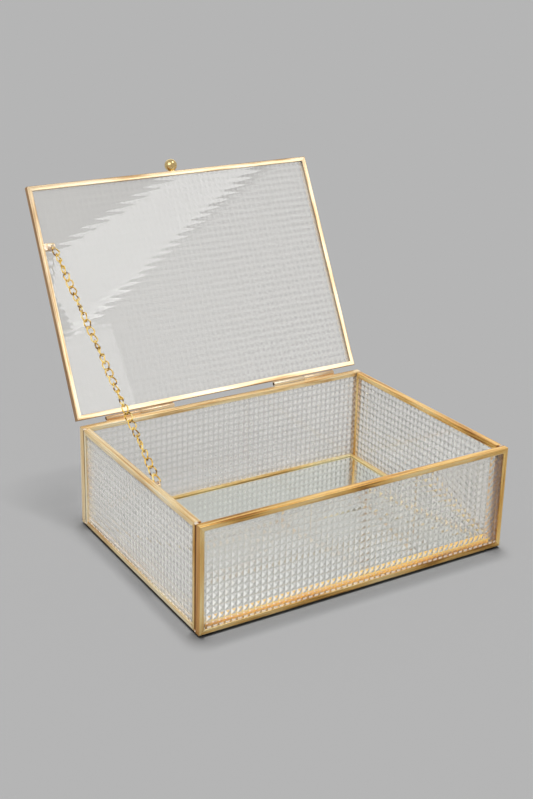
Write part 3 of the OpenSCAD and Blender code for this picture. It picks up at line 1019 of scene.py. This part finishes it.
# Long strip box seen in the lid: its two ends, each as (across, up, away) from the middle of the lid, along
# the way that a look into the lid's glass bounces off
stripBox = {
    "aim": (-0.0077, 0.1110, 0.1303),
    "azimuth": 32.86,
    "elevation": 31.18,
    "plane": 1.3,  # the places across and up are as seen at this distance
    "near": (-0.255, 0.1115, 0.822),
    "far": (0.225, 0.1360, 4.40),
    "tall": 0.108,
    "glow": 3.7,
}
panelBoxes = {
    "leftPanel": {"across": -0.3115, "up": -0.125, "away": 1.27, "wide": 0.27, "tall": 0.32, "roll": -9.5,
                  "glow": 1.5},
    "rightPanel": {"across": 0.225, "up": -0.336, "away": 1.3, "wide": 1.5, "tall": 0.9, "roll": 11.4,
                   "glow": 1.6},
}
brassPanel = {"azimuth": 151, "elevation": 24, "away": 1.6, "wide": 1.8, "tall": 0.7, "glow": 0.5}
glassPanel = {"azimuth": -46, "elevation": 34, "away": 1.7, "wide": 1.4, "tall": 1.2, "glow": 2.6}
fillBoxes = {
    "frontFill": {"azimuth": -62, "elevation": 38, "away": 1.7, "wide": 1.4, "tall": 1.2, "glow": 1.6},
    "topFill": {"azimuth": 52, "elevation": 60, "away": 1.6, "wide": 0.6, "tall": 0.5, "glow": 3.0},
}


def addAreaLamp(name, place, turn, wide, tall, glow, lit):
    lamp = bpy.data.lights.new(name, "AREA")
    lamp.shape = "RECTANGLE"
    lamp.size, lamp.size_y = wide, tall
    lamp.energy = glow * math.pi * wide * tall
    obj = bpy.data.objects.new(name, lamp)
    obj.location = place
    obj.rotation_euler = turn.to_euler()
    bpy.context.scene.collection.objects.link(obj)
    obj.light_linking.receiver_collection = lit
    obj.visible_camera = False
    obj.visible_transmission = False


def addLamps():
    lit = bpy.data.collections.new("lampsOnCasket")
    lidOnly = bpy.data.collections.new("lampsOnLid")
    boxBrass = bpy.data.collections.new("lampsOnBoxBrass")
    boxGlass = bpy.data.collections.new("lampsOnBoxGlass")
    for obj in bpy.context.scene.objects:
        finishes = [slot.material for slot in obj.material_slots]
        if obj.type != "MESH" or obj.name == "floor" or mirrorGlass in finishes:
            continue  # in the mirror the lamps would show as bare rectangles
        lit.objects.link(obj)
        if obj.name.startswith("lid"):
            lidOnly.objects.link(obj)
        elif clearGlass in finishes or litBaseFrontBrass in finishes:
            boxGlass.objects.link(obj)
        elif footRubber not in finishes:
            boxBrass.objects.link(obj)
    s = stripBox
    aim = Vector(s["aim"])
    back = directionFrom(s["azimuth"], s["elevation"])
    facing = back.to_track_quat("Z", "Y").to_matrix()

    def seenAt(across, up, away):
        ray = facing @ Vector((across, up, s["plane"]))
        return aim + ray * (away / s["plane"])

    near, far = seenAt(*s["near"]), seenAt(*s["far"])
    along = (far - near).normalized()
    upward = facing.col[1]
    upward = (upward - along * upward.dot(along)).normalized()
    outward = along.cross(upward)
    if outward.dot(near - aim) < 0:
        along, outward = -along, -outward
    turn = Matrix((along, upward, outward)).transposed()
    addAreaLamp("stripBox", (near + far) / 2, turn, (far - near).length, s["tall"], s["glow"], lidOnly)
    for name, p in panelBoxes.items():
        turn = facing @ Matrix.Rotation(math.radians(p["roll"]), 3, "Z")
        place = seenAt(p["across"], p["up"], p["away"])
        addAreaLamp(name, place, turn, p["wide"], p["tall"], p["glow"], lidOnly)
    onPieces = [(name, f, lit) for name, f in fillBoxes.items()]
    onPieces += [("brassPanel", brassPanel, boxBrass), ("glassPanel", glassPanel, boxGlass)]
    for name, f, pieces in onPieces:
        back = directionFrom(f["azimuth"], f["elevation"])
        turn = back.to_track_quat("Z", "Y").to_matrix()
        addAreaLamp(name, aim + back * f["away"], turn, f["wide"], f["tall"], f["glow"], pieces)


# The sun falls on the floor alone, so that the box has a soft shadow there
def addSun(s):
    onFloor = bpy.data.collections.new("sunOnFloor")
    onFloor.objects.link(bpy.data.objects["floor"])
    lamp = bpy.data.lights.new("sun", "SUN")
    lamp.angle = math.radians(s["sunAngle"])
    lamp.energy = s["sunShare"] * math.pi / math.sin(math.radians(s["sunElevation"]))
    obj = bpy.data.objects.new("sun", lamp)
    obj.rotation_euler = directionFrom(s["sunAzimuth"], s["sunElevation"]).to_track_quat("Z", "Y").to_euler()
    bpy.context.scene.collection.objects.link(obj)
    obj.light_linking.receiver_collection = onFloor


addFloor(studio)
addWorld(studio)
addSun(studio)
addLamps()
bpy.context.scene.view_settings.view_transform = "Standard"
print("studio lit")
